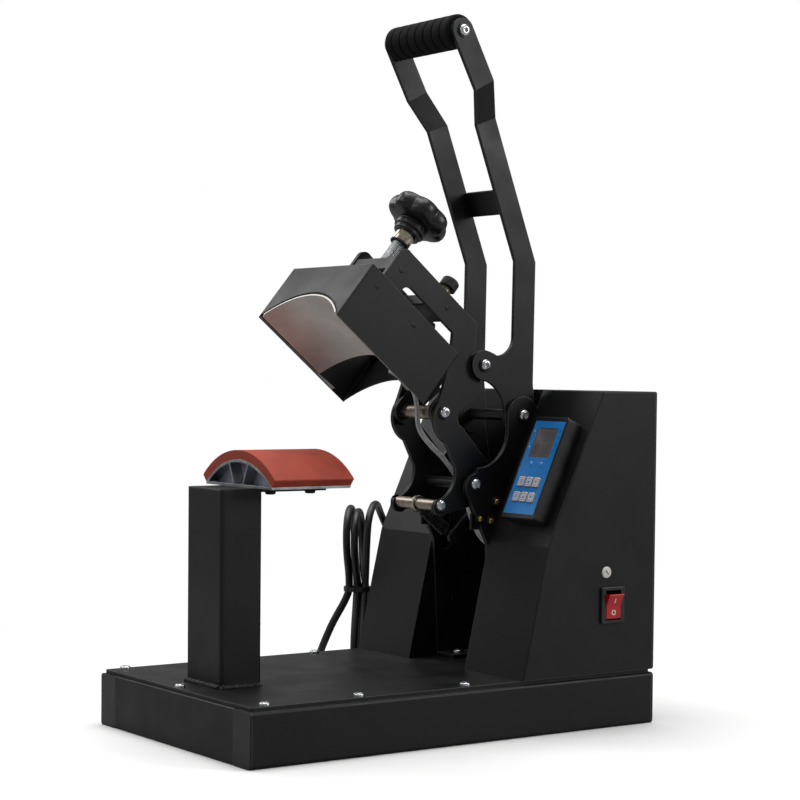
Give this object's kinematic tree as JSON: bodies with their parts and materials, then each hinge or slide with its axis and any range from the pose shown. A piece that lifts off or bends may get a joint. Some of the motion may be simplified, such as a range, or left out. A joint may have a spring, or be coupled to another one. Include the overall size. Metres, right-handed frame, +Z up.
{
  "type": "cap heat press",
  "caption": "Clamshell cap heat press: curved silicone platen on a post, tilting curved heater on a toggle lever, black sheet-steel base and twin cabinets.",
  "frame": {"origin": "centre of the base's footprint, on the surface that the press stands on", "axes": "+Z up; -Y is the operator's side, where the curved platen is; +X is the side with the power switch and the controller"},
  "size_m": [0.3928, 0.4066, 0.6025],
  "materials": {
    "black_powder_coat": "fine-textured satin black powder coat",
    "black_plastic": "moulded black plastic",
    "zinc_steel": "bright zinc-plated steel",
    "machined_steel": "turned bright steel",
    "blackened_steel": "blackened turned steel",
    "brass": "plain brass",
    "cast_aluminium": "satin cast aluminium",
    "extruded_aluminium": "mill-finish extruded aluminium",
    "red_silicone": "matt brick-red silicone rubber",
    "black_foam": "matt black foam rubber",
    "black_rubber": "satin black rubber and PVC",
    "blue_face": "printed blue polycarbonate sheet",
    "grey_display": "grey liquid-crystal window",
    "white_keys": "warm white key caps",
    "red_rocker": "translucent red plastic",
    "white_nylon": "white nylon",
    "grey_sheath": "grey woven glass sheath"
  },
  "bodies": {
    "press_base": {"rail_left": "black_powder_coat", "rail_right": "black_powder_coat", "rail_end_caps": "black_plastic", "end_panels": "black_powder_coat", "base_plate": "black_powder_coat", "base_screws": "zinc_steel", "platen_post": "black_powder_coat", "platen_core": "extruded_aluminium", "platen_pad": "red_silicone", "cabinet_left": "black_powder_coat", "cabinet_right": "black_powder_coat", "rear_cover": "black_powder_coat", "frame_plate_left": "black_powder_coat", "frame_plate_right": "black_powder_coat", "anchor_bracket": "black_powder_coat", "bracket_screws": "brass", "axle_rods": "blackened_steel", "axle_bolts": "zinc_steel", "controller_case": "black_plastic", "controller_face": "blue_face", "display": "grey_display", "switch_housing": "black_plastic", "fuse_cap": "white_nylon", "cord_gland": "black_plastic", "power_cord_lead": "black_rubber", "power_cord_hank": "black_rubber", "power_cord_tail": "black_rubber", "power_plug": "black_plastic", "tension_spring": "zinc_steel", "heater_cable": "grey_sheath"},
    "lever": {"lever_plate_left": "black_powder_coat", "lever_plate_right": "black_powder_coat", "lever_tie": "black_powder_coat", "handle_rod": "zinc_steel", "handle_grip": "black_foam", "lever_bolts": "zinc_steel"},
    "toggle_links": {"toggle_links": "black_powder_coat"},
    "arm": {"arm_plate_left": "black_powder_coat", "arm_plate_right": "black_powder_coat", "upper_rod": "machined_steel", "lower_rod": "machined_steel", "arm_bolts": "zinc_steel", "screw_block": "black_powder_coat", "arm_tie": "black_powder_coat", "stop_stud": "zinc_steel", "stop_buffer": "black_rubber"},
    "head": {"head_cover": "black_powder_coat", "heater": "cast_aluminium", "heater_carrier": "machined_steel", "head_screws": "zinc_steel"},
    "pressure_knob": {"pressure_screw": "machined_steel", "lock_nut": "zinc_steel", "star_knob": "black_plastic"},
    "rocker": {"switch_rocker": "red_rocker"},
    "key_1_cap": {"key_1": "white_keys"},
    "key_2_cap": {"key_2": "white_keys"},
    "key_3_cap": {"key_3": "white_keys"},
    "key_4_cap": {"key_4": "white_keys"},
    "key_5_cap": {"key_5": "white_keys"},
    "key_6_cap": {"key_6": "white_keys"}
  },
  "joints": [
    {"name": "arm_swing", "type": "hinge", "parent": "press_base", "child": "arm", "pos_m": [0, 0.0685, 0.2054], "axis": [1, 0, 0], "range_deg": [0, 39.7], "deforming": ["tension_spring", "heater_cable"]},
    {"name": "lever_swing", "type": "hinge", "parent": "press_base", "child": "lever", "pos_m": [0, 0.12, 0.2645], "axis": [1, 0, 0], "range_deg": [0, 62.5]},
    {"name": "link_turn", "type": "hinge", "parent": "arm", "child": "toggle_links", "pos_m": [0, 0.04156, 0.26688], "axis": [1, 0, 0], "range_deg": [-71.5, 0]},
    {"name": "head_lift", "type": "slide", "parent": "arm", "child": "head", "axis": [0, 0.6388, 0.7694], "range_m": [0, 0.007]},
    {"name": "knob_turn", "type": "hinge", "parent": "head", "child": "pressure_knob", "pos_m": [0, -0.00302, 0.38773], "axis": [0, 0.6388, 0.7694], "range_deg": [0, 1440]},
    {"name": "power_switch", "type": "hinge", "parent": "press_base", "child": "rocker", "pos_m": [0.1224, 0.1538, 0.1052], "axis": [0, 1, 0], "range_deg": [-24, 0]},
    {"name": "key_1_press", "type": "slide", "parent": "press_base", "child": "key_1_cap", "axis": [0, 0.9122, -0.4097], "range_m": [0, 0.0006], "stiffness_N_per_m": 300},
    {"name": "key_2_press", "type": "slide", "parent": "press_base", "child": "key_2_cap", "axis": [0, 0.9122, -0.4097], "range_m": [0, 0.0006], "stiffness_N_per_m": 300},
    {"name": "key_3_press", "type": "slide", "parent": "press_base", "child": "key_3_cap", "axis": [0, 0.9122, -0.4097], "range_m": [0, 0.0006], "stiffness_N_per_m": 300},
    {"name": "key_4_press", "type": "slide", "parent": "press_base", "child": "key_4_cap", "axis": [0, 0.9122, -0.4097], "range_m": [0, 0.0006], "stiffness_N_per_m": 300},
    {"name": "key_5_press", "type": "slide", "parent": "press_base", "child": "key_5_cap", "axis": [0, 0.9122, -0.4097], "range_m": [0, 0.0006], "stiffness_N_per_m": 300},
    {"name": "key_6_press", "type": "slide", "parent": "press_base", "child": "key_6_cap", "axis": [0, 0.9122, -0.4097], "range_m": [0, 0.0006], "stiffness_N_per_m": 300}
  ],
  "couplings": [
    {"joint": "lever_swing", "follows": "arm_swing", "ratio": 1.5728},
    {"joint": "link_turn", "follows": "arm_swing", "ratio": -1.7988},
    {"joint": "knob_turn", "follows": "head_lift", "rad_per_m": 3590.4}
  ]
}
